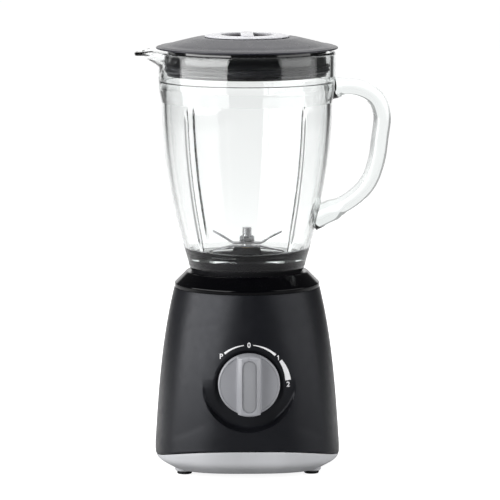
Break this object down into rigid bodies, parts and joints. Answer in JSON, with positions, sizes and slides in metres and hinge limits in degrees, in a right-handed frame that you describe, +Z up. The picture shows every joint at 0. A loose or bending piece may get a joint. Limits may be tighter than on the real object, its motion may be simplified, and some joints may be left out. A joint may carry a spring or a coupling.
{
  "type": "countertop blender",
  "caption": "Countertop blender: flared motor base with a front dial, clear glass jug with glass handle, pouring spout and blade unit, lid and filler cap.",
  "frame": {"origin": "on the table, under the middle of the overall box", "axes": "+Z up along the motor axis, -Y out of the front with the dial, +X towards the handle, -X towards the spout"},
  "size_m": [0.223, 0.1718, 0.3788],
  "materials": {
    "charcoal": "fine satin moulded plastic",
    "gloss_black": "polished black plastic",
    "silver": "satin silver-grey plastic",
    "knob_grey": "satin silver-grey plastic with a bright edge",
    "inlay_grey": "matt grey insert",
    "rubber": "black rubber",
    "lid_grey": "satin dark grey plastic",
    "seal": "soft grey seal",
    "black": "black nylon",
    "frosted": "milky clear plastic",
    "steel": "zinc-plated steel",
    "bright_steel": "ground stainless steel",
    "lamination": "stack of steel laminations",
    "copper": "enamelled copper wire",
    "brass": "brass",
    "carbon": "pressed carbon",
    "glass": "clear pressed glass"
  },
  "bodies": {
    "base": {"housing": "charcoal", "top_ring": "gloss_black", "bottom_cover": "silver", "cord_gland": "rubber", "rotary_switch": "black", "stator_core": "lamination", "field_coil_left": "copper", "field_coil_right": "copper", "lower_bracket": "steel", "upper_bracket": "steel", "lower_bearing": "bright_steel", "upper_bearing": "bright_steel", "foot_front_left": "rubber", "cover_screw_front_left": "steel", "motor_mount_front_left": "rubber", "mount_screw_front_left": "steel", "foot_front_right": "rubber", "cover_screw_front_right": "steel", "motor_mount_front_right": "rubber", "mount_screw_front_right": "steel", "foot_rear_left": "rubber", "cover_screw_rear_left": "steel", "motor_mount_rear_left": "rubber", "mount_screw_rear_left": "steel", "foot_rear_right": "rubber", "cover_screw_rear_right": "steel", "motor_mount_rear_right": "rubber", "mount_screw_rear_right": "steel", "stator_bolt_front": "steel", "brush_holder_front": "brass", "carbon_brush_front": "carbon", "brush_spring_front": "bright_steel", "stator_bolt_rear": "steel", "brush_holder_rear": "brass", "carbon_brush_rear": "carbon", "brush_spring_rear": "bright_steel"},
    "rotor": {"motor_shaft": "bright_steel", "rotor_core": "lamination", "rotor_winding": "copper", "commutator": "copper", "cooling_fan": "black", "drive_coupler": "black"},
    "dial": {"knob": "knob_grey", "knob_inlay": "inlay_grey", "switch_spindle": "steel"},
    "jug": {"jug_glass": "glass", "jug_handle": "glass", "jug_collar": "black", "jug_gasket": "rubber", "blade_holder": "black", "shaft_bush": "brass"},
    "blades": {"blade_shaft": "bright_steel", "lower_blade": "bright_steel", "upper_blade": "bright_steel", "blade_nut": "bright_steel", "driven_coupler": "black"},
    "lid": {"lid_cover": "lid_grey", "lid_skirt": "gloss_black", "lid_seal": "seal"},
    "cap": {"filler_cap": "frosted"}
  },
  "joints": [
    {"name": "rotor_spin", "type": "hinge", "parent": "base", "child": "rotor", "pos_m": [-0.01385, 0.00315, 0], "axis": [0, 0, 1], "continuous": true},
    {"name": "knob_turn", "type": "hinge", "parent": "base", "child": "dial", "pos_m": [-0.01385, -0.06585, 0.0836], "axis": [0, 1, 0], "range_deg": [-45, 90]},
    {"name": "jug_lift", "type": "slide", "parent": "base", "child": "jug", "axis": [0, 0, 1], "range_m": [0, 0.08]},
    {"name": "blade_spin", "type": "hinge", "parent": "jug", "child": "blades", "pos_m": [-0.01385, 0.00315, 0], "axis": [0, 0, 1], "continuous": true},
    {"name": "lid_lift", "type": "slide", "parent": "jug", "child": "lid", "axis": [0, 0, 1], "range_m": [0, 0.06]},
    {"name": "cap_lift", "type": "slide", "parent": "lid", "child": "cap", "axis": [0, 0, 1], "range_m": [0, 0.05]}
  ],
  "couplings": [
    {"joint": "blade_spin", "follows": "rotor_spin", "ratio": 1}
  ]
}
